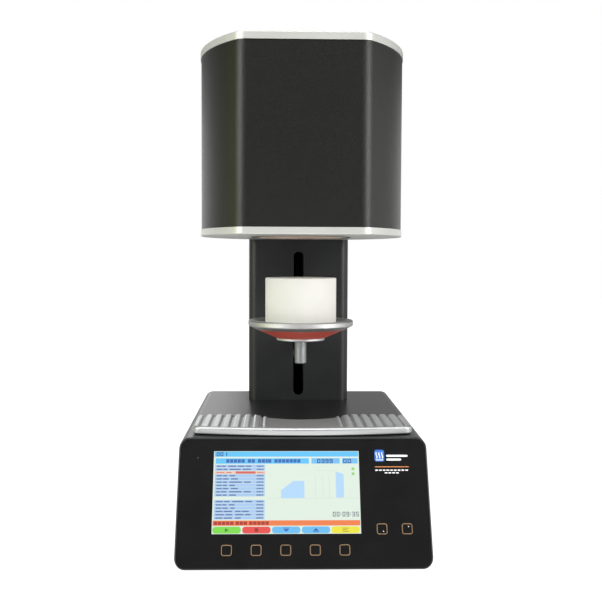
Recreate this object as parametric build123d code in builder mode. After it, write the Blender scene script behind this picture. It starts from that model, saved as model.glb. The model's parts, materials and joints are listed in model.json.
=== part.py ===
from build123d import *
import os
from math import cos, radians, sin, sqrt

# Bench-top porcelain kiln. A wedge-shaped base carries a slotted column. The heating head hangs
# on the column, and a motor-driven arm lifts the firing table from below into the head.
# Millimetres. X is right, Y is back, Z is up. The origin is the middle of the bounding box,
# on the surface that the feet stand on.

os.makedirs("parts", exist_ok=True)

# ---- driving dimensions ----
BASE_WIDTH = 265.0
BASE_FRONT = -200.7
BASE_BACK = 188.0
FOOT_HEIGHT = 3.5
BASE_TOP = 127.3
BASE_EDGE_RADIUS = 11.0
SLOPE_ANGLE = 25.4          # control panel, leaning back from the vertical
WALL = 3.0
FLOOR = 4.0
REAR_LIMIT = 200.0          # end of the vacuum hose nipple

SCREEN_WIDTH = 154.08       # 7 inch wide display, active area
SCREEN_HEIGHT = 85.92
SCREEN_X = -18.0
SCREEN_UP = 79.2            # up the slope from the panel's foot
KEY_SIZE = 11.0
KEY_TRAVEL = 0.5

AXIS_Y = -12.0              # firing axis, shared by the table, the pedestal and the chamber
COLUMN_FRONT = 108.0
COLUMN_BACK = 184.0
COLUMN_WIDTH = 135.0
COLUMN_TOP = 520.0
SCREW_Y = 150.0             # lead screw and guide rods
ROD_X = 35.0

HEAD_BOTTOM = 345.4
HEAD_TOP = 561.1
HEAD_FRONT = -132.0
HEAD_BACK = 106.0
HEAD_FLAT = 69.0            # half width of the flat front
HEAD_HALF = 119.6           # half width at the firing axis
CHAMBER_RADIUS = 47.0

TABLE_TOP = 245.2
TABLE_RADIUS = 63.6
LIFT_UP = 99.4
LIFT_DOWN = 52.0
PEDESTAL_RADIUS = 43.0
PEDESTAL_TOP = 296.6


def box(corner_low, corner_high, mode=Mode.ADD):
    """A box between two corners, inside the current part."""
    size = [high - low for low, high in zip(corner_low, corner_high)]
    middle = [(high + low) / 2 for low, high in zip(corner_low, corner_high)]
    with Locations(tuple(middle)):
        Box(*size, mode=mode)


def rod(x, y, low, high, radius, mode=Mode.ADD):
    """An upright cylinder, inside the current part."""
    with Locations((x, y, low)):
        Cylinder(radius, high - low, align=(Align.CENTER, Align.CENTER, Align.MIN), mode=mode)


def tube(x, y, low, high, outer, inner):
    """An upright tube, inside the current part."""
    rod(x, y, low, high, outer)
    rod(x, y, low, high, inner, mode=Mode.SUBTRACT)


def turned(points):
    """A piece turned about the firing axis. Each point is a radius and a height."""
    with BuildPart() as piece:
        with BuildSketch(Plane.XZ.offset(-AXIS_Y)):
            with BuildLine():
                Polyline(points, close=True)
            make_face()
        revolve(axis=Axis((0, AXIS_Y, 0), (0, 0, 1)))
    return piece


# ---- base ----
BASE_HEIGHT = BASE_TOP - FOOT_HEIGHT
BASE_MIDDLE = (BASE_TOP + FOOT_HEIGHT) / 2
PANEL_THICKNESS = 2.5
PANEL_LEDGE = 2.4
PANEL_MARGIN = 2.0
PANEL_RADIUS = 9.6
PANEL_GAP = 0.2
SLOPE_LENGTH = BASE_HEIGHT / cos(radians(SLOPE_ANGLE))
SLOPE_MIDDLE = SLOPE_LENGTH / 2
PANEL_WIDTH = BASE_WIDTH - 2 * PANEL_MARGIN
PANEL_HEIGHT = SLOPE_LENGTH - 2 * PANEL_MARGIN
SLOPE_OUT = Vector(0, -cos(radians(SLOPE_ANGLE)), sin(radians(SLOPE_ANGLE)))
slope = Plane(origin=(0, BASE_FRONT, FOOT_HEIGHT), x_dir=(1, 0, 0), z_dir=SLOPE_OUT)

PLATE_HALF = 117.0
PLATE_FRONT = -182.0
PLATE_BACK = 176.0
PLATE_THICKNESS = 2.0
PLATE_GAP = 0.3
PLATE_FLANGE = 6.0

INLET_X = -70.0
INLET_Z = 60.0
INLET_HALF_WIDTH = 16.0
INLET_HALF_HEIGHT = 35.0
NIPPLE_X = 60.0
NIPPLE_Z = 36.0
NIPPLE_RADIUS = 4.0
VENT_WIDTH = 3.0
VENT_LENGTH = 34.0
VENT_PITCH = 8.0
VENT_COUNT = 6
VENT_X = 95.0
VENT_Z = 75.0
SHAFT_OPENING_HALF = 62.0
SHAFT_OPENING_FRONT = 116.0
SHAFT_OPENING_BACK = 181.0

with BuildPart() as base_cavity:
    with BuildSketch(Plane.XZ.offset(-(BASE_BACK - WALL))):
        with Locations((0, BASE_MIDDLE + (FLOOR - WALL) / 2)):
            RectangleRounded(BASE_WIDTH - 2 * WALL, BASE_HEIGHT - WALL - FLOOR, BASE_EDGE_RADIUS - WALL)
    extrude(amount=BASE_BACK - BASE_FRONT)
    split(bisect_by=slope.offset(-PANEL_THICKNESS - PANEL_LEDGE), keep=Keep.BOTTOM)

with BuildPart() as base_housing:
    with BuildSketch(Plane.XZ.offset(-BASE_BACK)):
        with Locations((0, BASE_MIDDLE)):
            RectangleRounded(BASE_WIDTH, BASE_HEIGHT, BASE_EDGE_RADIUS)
    extrude(amount=BASE_BACK - BASE_FRONT)
    split(bisect_by=slope, keep=Keep.BOTTOM)
    fillet(base_housing.faces().sort_by(Axis.Y)[-1].edges(), radius=2.0)
    fillet(base_housing.faces().filter_by(slope).edges(), radius=1.4)
    add(base_cavity.part, mode=Mode.SUBTRACT)
    with BuildSketch(slope):
        with Locations((0, SLOPE_MIDDLE)):
            RectangleRounded(PANEL_WIDTH + 2 * PANEL_GAP, PANEL_HEIGHT + 2 * PANEL_GAP, PANEL_RADIUS + PANEL_GAP)
    extrude(amount=-PANEL_THICKNESS, mode=Mode.SUBTRACT)
    with BuildSketch(slope):
        with Locations((0, SLOPE_MIDDLE)):
            RectangleRounded(PANEL_WIDTH - 18, PANEL_HEIGHT - 18, 4)
    extrude(amount=-12, mode=Mode.SUBTRACT)
    # bottom opening and the step that the floor plate lies in
    box(
        (-PLATE_HALF + PLATE_FLANGE, PLATE_FRONT + PLATE_FLANGE, 0),
        (PLATE_HALF - PLATE_FLANGE, PLATE_BACK - PLATE_FLANGE, FOOT_HEIGHT + FLOOR + 1),
        mode=Mode.SUBTRACT,
    )
    box(
        (-PLATE_HALF, PLATE_FRONT, 0),
        (PLATE_HALF, PLATE_BACK, FOOT_HEIGHT + PLATE_THICKNESS + 0.1),
        mode=Mode.SUBTRACT,
    )
    # opening under the column
    box(
        (-SHAFT_OPENING_HALF, SHAFT_OPENING_FRONT, BASE_TOP - 2 * WALL),
        (SHAFT_OPENING_HALF, SHAFT_OPENING_BACK, BASE_TOP + 1),
        mode=Mode.SUBTRACT,
    )
    # rear openings: mains inlet, hose nipple and vents
    box(
        (INLET_X - INLET_HALF_WIDTH + 2, BASE_BACK - 2 * WALL, INLET_Z - INLET_HALF_HEIGHT + 2),
        (INLET_X + INLET_HALF_WIDTH - 2, BASE_BACK + 1, INLET_Z + INLET_HALF_HEIGHT - 2),
        mode=Mode.SUBTRACT,
    )
    with BuildSketch(Plane.XZ.offset(-BASE_BACK)):
        with Locations((NIPPLE_X, NIPPLE_Z)):
            Circle(NIPPLE_RADIUS + 1.6)
        with Locations((VENT_X, VENT_Z)):
            with GridLocations(VENT_PITCH, 0, VENT_COUNT, 1):
                SlotOverall(VENT_LENGTH, VENT_WIDTH, rotation=90)
    extrude(amount=2 * WALL, mode=Mode.SUBTRACT)

with BuildPart() as base_plate:
    box(
        (-PLATE_HALF + PLATE_GAP, PLATE_FRONT + PLATE_GAP, FOOT_HEIGHT),
        (PLATE_HALF - PLATE_GAP, PLATE_BACK - PLATE_GAP, FOOT_HEIGHT + PLATE_THICKNESS),
    )
    fillet(base_plate.edges().filter_by(Axis.Z), radius=4)

FOOT_X = 98.0
FOOT_FRONT = -160.0
FOOT_BACK = 158.0
FOOT_RADIUS = 11.0

with BuildPart() as rubber_feet:
    foot_places = [(x, y, FOOT_HEIGHT / 2) for x in (-FOOT_X, FOOT_X) for y in (FOOT_FRONT, FOOT_BACK)]
    with Locations(*foot_places):
        Cylinder(FOOT_RADIUS, FOOT_HEIGHT)
    fillet(rubber_feet.faces().group_by(Axis.Z)[0].edges(), radius=1.2)

SCREW_HEAD_RADIUS = 3.4
with BuildPart() as plate_screws:
    plate_screw_places = [(x, y) for x in (-60, 60) for y in (FOOT_FRONT, 0, FOOT_BACK)]
    for x, y in plate_screw_places:
        rod(x, y, FOOT_HEIGHT - 1.6, FOOT_HEIGHT, SCREW_HEAD_RADIUS)
    fillet(plate_screws.faces().group_by(Axis.Z)[0].edges(), radius=0.8)

# ---- control panel, display and keys ----
KEY_GAP = 0.15
KEY_RADIUS = 2.4
KEY_DEPTH = 4.0
KEY_PITCH = 30.3
KEY_ROW_X = -18.8
KEY_ROW_UP = 19.9
SIDE_KEY_UP = 40.8
SIDE_KEY_X = (80.9, 107.0)
LED_X = -112.0
LED_UP = 115.2
LED_RADIUS = 1.0

row_keys = [(KEY_ROW_X + KEY_PITCH * (i - 2), KEY_ROW_UP) for i in range(5)]
side_keys = [(x, SIDE_KEY_UP) for x in SIDE_KEY_X]
key_places = row_keys + side_keys
key_names = ["key_start", "key_escape", "key_close", "key_open", "key_edit", "key_down", "key_up"]

with BuildPart() as control_panel:
    with BuildSketch(slope):
        with Locations((0, SLOPE_MIDDLE)):
            RectangleRounded(PANEL_WIDTH, PANEL_HEIGHT, PANEL_RADIUS)
        with Locations((SCREEN_X, SCREEN_UP)):
            Rectangle(SCREEN_WIDTH + 0.2, SCREEN_HEIGHT + 0.2, mode=Mode.SUBTRACT)
        with Locations(*key_places):
            RectangleRounded(
                KEY_SIZE + 2 * KEY_GAP, KEY_SIZE + 2 * KEY_GAP, KEY_RADIUS + KEY_GAP, mode=Mode.SUBTRACT
            )
        with Locations((LED_X, LED_UP)):
            Circle(LED_RADIUS + 0.05, mode=Mode.SUBTRACT)
    extrude(amount=-PANEL_THICKNESS)
    panel_edges = control_panel.faces().filter_by(slope).sort_by(Axis.Y)[0].outer_wire().edges()
    chamfer(panel_edges, length=0.4)

with BuildPart() as status_led:
    with BuildSketch(slope.offset(-0.1)):
        with Locations((LED_X, LED_UP)):
            Circle(LED_RADIUS)
    extrude(amount=-4)

with BuildPart() as display_screen:
    with BuildSketch(slope.offset(-0.1)):
        with Locations((SCREEN_X, SCREEN_UP)):
            Rectangle(SCREEN_WIDTH, SCREEN_HEIGHT)
    extrude(amount=-(PANEL_THICKNESS - 0.1))

DISPLAY_FRAME_WIDTH = 165.0
DISPLAY_FRAME_HEIGHT = 91.0
with BuildPart() as display_frame:
    with BuildSketch(slope.offset(-PANEL_THICKNESS)):
        with Locations((SCREEN_X, SCREEN_UP)):
            Rectangle(DISPLAY_FRAME_WIDTH, DISPLAY_FRAME_HEIGHT)
    extrude(amount=-5.5)

KEY_BOARD_DEPTH = 7.0
KEY_BOARD_THICKNESS = 1.6
KEY_BOARD_LEFT = -90.0
KEY_BOARD_RIGHT = 87.0
KEY_BOARD_STRIP = 14.0
with BuildPart() as key_board:
    with BuildSketch(slope.offset(-KEY_BOARD_DEPTH)):
        with Locations(((KEY_BOARD_LEFT + KEY_BOARD_RIGHT) / 2, KEY_ROW_UP)):
            Rectangle(KEY_BOARD_RIGHT - KEY_BOARD_LEFT, KEY_BOARD_STRIP)
        with Locations((sum(SIDE_KEY_X) / 2, SIDE_KEY_UP)):
            Rectangle(40, KEY_BOARD_STRIP)
        with Locations((KEY_BOARD_RIGHT - KEY_BOARD_STRIP / 2, (KEY_ROW_UP + SIDE_KEY_UP) / 2)):
            Rectangle(KEY_BOARD_STRIP, SIDE_KEY_UP - KEY_ROW_UP + KEY_BOARD_STRIP)
    extrude(amount=-KEY_BOARD_THICKNESS)
    with BuildSketch(slope.offset(-KEY_BOARD_DEPTH)):
        with Locations(*key_places):
            Circle(2.5)
    extrude(amount=KEY_BOARD_DEPTH - KEY_DEPTH - KEY_TRAVEL - 0.2)


def key_cap(place):
    """A square key cap, flush with the panel."""
    with BuildPart() as cap:
        with BuildSketch(slope):
            with Locations(place):
                RectangleRounded(KEY_SIZE, KEY_SIZE, KEY_RADIUS)
        extrude(amount=-KEY_DEPTH)
    return cap


key_caps = {name: key_cap(place) for name, place in zip(key_names, key_places)}

# ---- cooling tray ----
TRAY_HALF = 120.3
TRAY_FRONT_MIDDLE = -140.2
TRAY_FRONT_END = -127.7
TRAY_REAR = -54.0
TRAY_BOTTOM = BASE_TOP + 1.2
TRAY_TOP = BASE_TOP + 9.5
TRAY_CUT_RADIUS = 70.0
TRAY_BAND = 3.2             # least width of the plain band in front of the grooves
TRAY_BAND_BACK = -133.0
GROOVE_FIRST = 45.3
GROOVE_PITCH = 11.1
GROOVE_COUNT = 7
GROOVE_DEPTH = 2.6
TRAY_RECESS_HALF = 40.0
TRAY_RECESS = 1.2

tray_sagitta = TRAY_FRONT_END - TRAY_FRONT_MIDDLE
tray_arc_radius = (TRAY_HALF**2 + tray_sagitta**2) / (2 * tray_sagitta)


def tray_front(x):
    """Y of the tray's curved front edge."""
    return TRAY_FRONT_MIDDLE + tray_arc_radius - sqrt(tray_arc_radius**2 - x**2)


grooves = [side * (GROOVE_FIRST + GROOVE_PITCH * i) for side in (-1, 1) for i in range(GROOVE_COUNT)]
lands = [side * (GROOVE_FIRST + GROOVE_PITCH * (i + 0.5)) for side in (-1, 1) for i in range(GROOVE_COUNT - 1)]
land_radius = GROOVE_PITCH / 2 - 0.3
lands_start = TRAY_REAR - land_radius

with BuildPart() as cooling_tray:
    with BuildSketch(Plane.XY.offset(TRAY_BOTTOM)):
        with BuildLine():
            front = ThreePointArc(
                (-TRAY_HALF, TRAY_FRONT_END), (0, TRAY_FRONT_MIDDLE), (TRAY_HALF, TRAY_FRONT_END)
            )
            Polyline(front @ 1, (TRAY_HALF, lands_start), (-TRAY_HALF, lands_start), front @ 0)
        make_face()
        with Locations(*[(x, lands_start) for x in lands]):
            Circle(land_radius)
        with Locations(*[(side * (TRAY_HALF - 3.6), lands_start) for side in (-1, 1)]):
            Circle(3.6)
        with Locations((0, AXIS_Y)):
            Circle(TRAY_CUT_RADIUS, mode=Mode.SUBTRACT)
    extrude(amount=TRAY_TOP - TRAY_BOTTOM)
    front_corners = cooling_tray.edges().filter_by(Axis.Z).group_by(Axis.Y)[0]
    fillet(front_corners, radius=9)
    front_top = cooling_tray.faces().sort_by(Axis.Z)[-1].edges().sort_by(Axis.Y)[0]
    front_bottom = cooling_tray.faces().sort_by(Axis.Z)[0].edges().sort_by(Axis.Y)[0]
    fillet([front_top], radius=3.0)
    fillet([front_bottom], radius=1.5)
    for x in grooves:
        start = max(TRAY_BAND_BACK, tray_front(x) + TRAY_BAND)
        with BuildSketch(Plane.XZ.offset(-start)):
            with BuildLine():
                Polyline((x + 3.6, TRAY_TOP), (x + 3.6, TRAY_TOP + 1), (x - 3.6, TRAY_TOP + 1), (x - 3.6, TRAY_TOP))
                ThreePointArc(
                    (x - 3.6, TRAY_TOP), (x - 1.7, TRAY_TOP - 0.9), (x - 0.8, TRAY_TOP - GROOVE_DEPTH)
                )
                Line((x - 0.8, TRAY_TOP - GROOVE_DEPTH), (x + 0.8, TRAY_TOP - GROOVE_DEPTH))
                ThreePointArc(
                    (x + 0.8, TRAY_TOP - GROOVE_DEPTH), (x + 1.7, TRAY_TOP - 0.9), (x + 3.6, TRAY_TOP)
                )
            make_face()
        extrude(amount=-(TRAY_REAR - start + 1), mode=Mode.SUBTRACT)
    box(
        (-TRAY_RECESS_HALF, TRAY_BAND_BACK, TRAY_TOP - TRAY_RECESS),
        (TRAY_RECESS_HALF, TRAY_REAR, TRAY_TOP),
        mode=Mode.SUBTRACT,
    )
    tray_pads = [(x, y) for x in (-100, 100) for y in (-105, -68)]
    for x, y in tray_pads:
        rod(x, y, BASE_TOP, TRAY_BOTTOM, 6)

# ---- column ----
SLOT_WIDTH = 13.8
SLOT_BOTTOM = 134.0
SLOT_TOP = 328.8
COLUMN_RADIUS = 11.5
BRACKET_HALF = 45.0
BRACKET_TOP = 440.0
WINDOW_TOP = 466.0
COLUMN_DEPTH = COLUMN_BACK - COLUMN_FRONT
COLUMN_MIDDLE = (COLUMN_BACK + COLUMN_FRONT) / 2
HEAD_PLATE = 8.0            # thickness of the head's bottom plate
JACKET_BOTTOM = HEAD_BOTTOM + HEAD_PLATE

with BuildPart() as column_cover:
    with BuildSketch(Plane.XY.offset(BASE_TOP)):
        with Locations((0, COLUMN_MIDDLE)):
            RectangleRounded(COLUMN_WIDTH, COLUMN_DEPTH, COLUMN_RADIUS)
    extrude(amount=COLUMN_TOP - BASE_TOP)
    with BuildSketch(Plane.XY.offset(BASE_TOP)):
        with Locations((0, COLUMN_MIDDLE)):
            RectangleRounded(COLUMN_WIDTH - 2 * WALL, COLUMN_DEPTH - 2 * WALL, COLUMN_RADIUS - WALL)
    extrude(amount=COLUMN_TOP - BASE_TOP - WALL, mode=Mode.SUBTRACT)
    with BuildSketch(Plane.XZ.offset(-COLUMN_FRONT)):
        with Locations((0, (SLOT_BOTTOM + SLOT_TOP) / 2)):
            SlotOverall(SLOT_TOP - SLOT_BOTTOM, SLOT_WIDTH, rotation=90)
    extrude(amount=-WALL, mode=Mode.SUBTRACT)
    slot_faces = column_cover.faces().filter_by(Axis.Y).sort_by(Axis.Y)[0]
    chamfer(slot_faces.inner_wires()[0].edges(), length=0.5)
    box(
        (-BRACKET_HALF - 1, COLUMN_FRONT - 1, JACKET_BOTTOM - 0.5),
        (BRACKET_HALF + 1, COLUMN_FRONT + WALL, WINDOW_TOP),
        mode=Mode.SUBTRACT,
    )
    fillet(column_cover.faces().sort_by(Axis.Z)[-1].outer_wire().edges(), radius=2)

FRAME_PLATE_FRONT = 174.0
FRAME_PLATE_BACK = 178.0
FRAME_HALF = 55.0
FRAME_TOP = 512.0
MOTOR_SIZE = 57.0
LEG_INNER = 33.0
LEG_OUTER = 46.0
FRAME_BOTTOM = FOOT_HEIGHT + FLOOR + 0.2
LOWER_BLOCK = (108.0, 122.0)
UPPER_BLOCK = (334.0, 348.0)
BLOCK_HALF = 50.0
BEARING_RADIUS = 14.0
BEARING_WIDTH = 8.0
SCREW_RADIUS = 6.0
ROD_RADIUS = 5.0
RUNNING = 0.05              # radial running clearance of screws, rods and bushes

with BuildPart() as column_frame:
    box((-FRAME_HALF, FRAME_PLATE_FRONT, LOWER_BLOCK[0]), (FRAME_HALF, FRAME_PLATE_BACK, FRAME_TOP))
    for side in (-1, 1):
        legs = sorted((side * LEG_INNER, side * LEG_OUTER))
        box((legs[0], FRAME_PLATE_FRONT, FRAME_BOTTOM), (legs[1], FRAME_PLATE_BACK, LOWER_BLOCK[0]))
        box((legs[0], FRAME_PLATE_FRONT - 22, FRAME_BOTTOM), (legs[1], FRAME_PLATE_FRONT, FRAME_BOTTOM + 4))

with BuildPart() as bearing_blocks:
    for low, high in (LOWER_BLOCK, UPPER_BLOCK):
        box((-BLOCK_HALF, SCREW_Y - 16, low), (BLOCK_HALF, FRAME_PLATE_FRONT, high))
        rod(0, SCREW_Y, low + 3, low + 3 + BEARING_WIDTH, BEARING_RADIUS + 0.02, mode=Mode.SUBTRACT)
        rod(0, SCREW_Y, low, high, SCREW_RADIUS + 2, mode=Mode.SUBTRACT)
        for x in (-ROD_X, ROD_X):
            rod(x, SCREW_Y, low, high, ROD_RADIUS + 0.02, mode=Mode.SUBTRACT)

with BuildPart() as screw_bearings:
    for low in (LOWER_BLOCK[0] + 3, UPPER_BLOCK[0] + 3):
        tube(0, SCREW_Y, low, low + BEARING_WIDTH, BEARING_RADIUS, SCREW_RADIUS + RUNNING)

with BuildPart() as guide_rods:
    for x in (-ROD_X, ROD_X):
        rod(x, SCREW_Y, LOWER_BLOCK[0], UPPER_BLOCK[1], ROD_RADIUS)

COUPLING = (72.0, 100.0)
MOTOR_BOTTOM = FRAME_BOTTOM + 1.0
MOTOR_TOP = 66.0
with BuildPart() as lift_motor:
    half = MOTOR_SIZE / 2
    box((-half, SCREW_Y - half, MOTOR_BOTTOM), (half, SCREW_Y + half, MOTOR_TOP))
    fillet(lift_motor.edges().filter_by(Axis.Z), radius=5)
    rod(0, SCREW_Y, MOTOR_TOP, MOTOR_TOP + 1.6, 19)
    rod(0, SCREW_Y, MOTOR_TOP - 2, MOTOR_TOP + 2, SCREW_RADIUS, mode=Mode.SUBTRACT)

with BuildPart() as lead_screw:
    rod(0, SCREW_Y, COUPLING[0] + 12, UPPER_BLOCK[1], SCREW_RADIUS)
    chamfer(lead_screw.edges(), length=0.6)

with BuildPart() as shaft_coupling:
    rod(0, SCREW_Y, *COUPLING, 11)
    rod(0, SCREW_Y, COUPLING[0] + 12, COUPLING[1], SCREW_RADIUS + 0.01, mode=Mode.SUBTRACT)
    rod(0, SCREW_Y, MOTOR_TOP, COUPLING[0], 3.2)
    for level in range(3):
        tube_low = COUPLING[0] + 9 + 4 * level
        with Locations((0, SCREW_Y + 9, tube_low)):
            Box(24, 8, 1.2, mode=Mode.SUBTRACT)

SWITCH_LEVELS = (168.0, 310.0)
with BuildPart() as limit_switches:
    for low in SWITCH_LEVELS:
        box((-FRAME_HALF + 1, FRAME_PLATE_FRONT - 16, low), (-FRAME_HALF + 8, FRAME_PLATE_FRONT, low + 20))

# ---- lift: carriage, arm and firing table ----
CARRIAGE_BOTTOM = 187.0
CARRIAGE_TOP = 227.0
CARRIAGE_HALF = 45.5
CARRIAGE_HALF_DEPTH = 12.0
BUSH_RADIUS = 9.0
NUT_RADIUS = 10.0
ARM_WIDTH = 12.4
ARM_BOTTOM = 192.0
ARM_TOP = 216.0
STEM_RADIUS = 7.0
STEM_BOTTOM = 191.4
CONE_BOTTOM = 223.5
CONE_TOP = 234.5
COLLAR_BOTTOM = 220.5

with BuildPart() as lift_carriage:
    box(
        (-CARRIAGE_HALF, SCREW_Y - CARRIAGE_HALF_DEPTH, CARRIAGE_BOTTOM),
        (CARRIAGE_HALF, SCREW_Y + CARRIAGE_HALF_DEPTH, CARRIAGE_TOP),
    )
    fillet(lift_carriage.edges().filter_by(Axis.Z), radius=3)
    for x in (-ROD_X, ROD_X):
        rod(x, SCREW_Y, CARRIAGE_BOTTOM, CARRIAGE_TOP, BUSH_RADIUS + 0.02, mode=Mode.SUBTRACT)
    rod(0, SCREW_Y, CARRIAGE_BOTTOM, CARRIAGE_TOP, NUT_RADIUS + 0.02, mode=Mode.SUBTRACT)

with BuildPart() as guide_bushes:
    for x in (-ROD_X, ROD_X):
        tube(x, SCREW_Y, CARRIAGE_BOTTOM, CARRIAGE_TOP, BUSH_RADIUS, ROD_RADIUS + RUNNING)

with BuildPart() as lift_nut:
    tube(0, SCREW_Y, CARRIAGE_BOTTOM - 5, CARRIAGE_BOTTOM, NUT_RADIUS + 2, SCREW_RADIUS + RUNNING)
    tube(0, SCREW_Y, CARRIAGE_BOTTOM, CARRIAGE_TOP - 6, NUT_RADIUS, SCREW_RADIUS + RUNNING)

with BuildPart() as lift_arm:
    box((-ARM_WIDTH / 2, AXIS_Y, ARM_BOTTOM), (ARM_WIDTH / 2, SCREW_Y - CARRIAGE_HALF_DEPTH, ARM_TOP))
    chamfer(lift_arm.edges().filter_by(Axis.Y), length=0.8)
    rod(0, AXIS_Y, ARM_BOTTOM - 1, ARM_TOP + 1, STEM_RADIUS + 0.02, mode=Mode.SUBTRACT)

with BuildPart() as table_stem:
    rod(0, AXIS_Y, STEM_BOTTOM, CONE_TOP, STEM_RADIUS)
    fillet(table_stem.edges().sort_by(Axis.Z)[0], radius=2)

with BuildPart() as table_collar:
    tube(0, AXIS_Y, COLLAR_BOTTOM, CONE_BOTTOM, 29.2, STEM_RADIUS + 0.02)
    chamfer(table_collar.edges().group_by(Axis.Z)[0].sort_by(SortBy.LENGTH)[-1], length=0.8)

table_cone = turned([
    (STEM_RADIUS + 0.02, CONE_BOTTOM), (30, CONE_BOTTOM), (55, CONE_TOP),
    (50, CONE_TOP), (28.8, CONE_BOTTOM + 2.2), (STEM_RADIUS + 0.02, CONE_BOTTOM + 2.2),
])

table_insulation = turned([
    (STEM_RADIUS + 0.02, CONE_BOTTOM + 2.2), (28.8, CONE_BOTTOM + 2.2),
    (50, CONE_TOP), (STEM_RADIUS + 0.02, CONE_TOP),
])

TABLE_LIP = 56.0
TABLE_FLOOR = 242.5
firing_table = turned([
    (0, CONE_TOP), (55, CONE_TOP), (TABLE_RADIUS - 1.0, 238.3), (TABLE_RADIUS, 239.3),
    (TABLE_RADIUS, TABLE_TOP - 1.2), (TABLE_RADIUS - 1.2, TABLE_TOP), (TABLE_LIP, TABLE_TOP),
    (TABLE_LIP - 1.5, TABLE_FLOOR), (0, TABLE_FLOOR),
])

with BuildPart() as firing_pedestal:
    rod(0, AXIS_Y, TABLE_FLOOR, PEDESTAL_TOP, PEDESTAL_RADIUS)
    fillet(firing_pedestal.edges().sort_by(Axis.Z)[-1], radius=1.8)

# ---- heating head ----
SHEET = 2.0
RIM_PROUD = 0.8
CAP_HEIGHT = 8.4
CAP_BOTTOM = HEAD_TOP - CAP_HEIGHT
HEAD_BEND = 16.0
# The side is one arc, square to the width at the firing axis.
side_drop = HEAD_HALF - HEAD_FLAT
side_run = AXIS_Y - HEAD_FRONT
side_radius = (side_drop**2 + side_run**2) / (2 * side_drop)
side_centre = HEAD_HALF - side_radius
back_run = HEAD_BACK - AXIS_Y
head_back_flat = side_centre + sqrt(side_radius**2 - back_run**2)


def head_outline(shrink):
    """The head's plan outline, shrunk inwards."""
    with BuildSketch() as outline:
        with BuildLine():
            right = ThreePointArc((HEAD_FLAT, HEAD_FRONT), (HEAD_HALF, AXIS_Y), (head_back_flat, HEAD_BACK))
            left = ThreePointArc((-head_back_flat, HEAD_BACK), (-HEAD_HALF, AXIS_Y), (-HEAD_FLAT, HEAD_FRONT))
            Line(right @ 1, left @ 0)
            Line(left @ 1, right @ 0)
        make_face()
        fillet(outline.vertices(), radius=HEAD_BEND)
        if shrink:
            offset(amount=-shrink, kind=Kind.ARC, mode=Mode.REPLACE)
    return outline.sketch


SEAL_RADIUS = 59.0
SEAL_SECTION = 2.0
SEAL_PROUD = 0.5
with BuildPart() as head_plate:
    with BuildSketch(Plane.XY.offset(HEAD_BOTTOM)):
        add(head_outline(-RIM_PROUD))
        with Locations((0, AXIS_Y)):
            Circle(50.1, mode=Mode.SUBTRACT)
    extrude(amount=HEAD_PLATE)
    with BuildSketch(Plane.XY.offset(HEAD_BOTTOM)):
        with Locations((0, AXIS_Y)):
            Circle(SEAL_RADIUS + SEAL_SECTION + 0.1)
            Circle(SEAL_RADIUS - SEAL_SECTION - 0.1, mode=Mode.SUBTRACT)
    extrude(amount=2 * SEAL_SECTION - SEAL_PROUD, mode=Mode.SUBTRACT)
    fillet(head_plate.faces().sort_by(Axis.Z)[0].outer_wire().edges(), radius=1.2)

with BuildPart() as head_jacket:
    with BuildSketch(Plane.XY.offset(JACKET_BOTTOM)):
        add(head_outline(0))
    extrude(amount=CAP_BOTTOM - JACKET_BOTTOM)
    with BuildSketch(Plane.XY.offset(JACKET_BOTTOM)):
        add(head_outline(SHEET))
    extrude(amount=CAP_BOTTOM - JACKET_BOTTOM, mode=Mode.SUBTRACT)
    box(
        (-BRACKET_HALF - 1, HEAD_BACK - 2 * SHEET, JACKET_BOTTOM - 1),
        (BRACKET_HALF + 1, HEAD_BACK + 1, WINDOW_TOP),
        mode=Mode.SUBTRACT,
    )

TIE_X = 62.0
TIE_FRONT = -95.0
TIE_BACK = 71.0
tie_places = [(x, y) for x in (-TIE_X, TIE_X) for y in (TIE_FRONT, TIE_BACK)]
CAP_SCREW_RADIUS = 5.0
CAP_ROOF = 3.4
CAP_VENT_LENGTH = 60.0
CAP_VENT_PITCH = 9.0
with BuildPart() as head_cap:
    with BuildSketch(Plane.XY.offset(CAP_BOTTOM)):
        add(head_outline(-RIM_PROUD))
    extrude(amount=CAP_HEIGHT)
    with BuildSketch(Plane.XY.offset(CAP_BOTTOM)):
        add(head_outline(SHEET + 3))
        with Locations(*tie_places):
            Circle(8, mode=Mode.SUBTRACT)
    extrude(amount=CAP_HEIGHT - CAP_ROOF, mode=Mode.SUBTRACT)
    with BuildSketch(Plane.XY.offset(HEAD_TOP)):
        with Locations(*tie_places):
            Circle(CAP_SCREW_RADIUS + 0.2)
    extrude(amount=-3.0, mode=Mode.SUBTRACT)
    with BuildSketch(Plane.XY.offset(HEAD_TOP)):
        with Locations((0, AXIS_Y)):
            with GridLocations(CAP_VENT_LENGTH + 10, CAP_VENT_PITCH, 2, 7):
                SlotOverall(CAP_VENT_LENGTH, VENT_WIDTH)
    extrude(amount=-CAP_ROOF, mode=Mode.SUBTRACT)
    fillet(head_cap.faces().sort_by(Axis.Z)[-1].outer_wire().edges(), radius=1.2)

with BuildPart() as cap_screws:
    for x, y in tie_places:
        rod(x, y, HEAD_TOP - 3.0, HEAD_TOP - 0.2, CAP_SCREW_RADIUS)
    with BuildSketch(Plane.XY.offset(HEAD_TOP - 0.2)):
        with Locations(*tie_places):
            RegularPolygon(2.3, 6)
    extrude(amount=-1.8, mode=Mode.SUBTRACT)

with BuildPart() as tie_rods:
    for x, y in tie_places:
        rod(x, y, JACKET_BOTTOM, CAP_BOTTOM, 3)

CHAMBER_RING_BOTTOM = 344.6
with BuildPart() as chamber_ring:
    tube(0, AXIS_Y, CHAMBER_RING_BOTTOM, JACKET_BOTTOM, 50, CHAMBER_RADIUS)
    chamfer(chamber_ring.edges().group_by(Axis.Z)[0], length=0.6)

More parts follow.
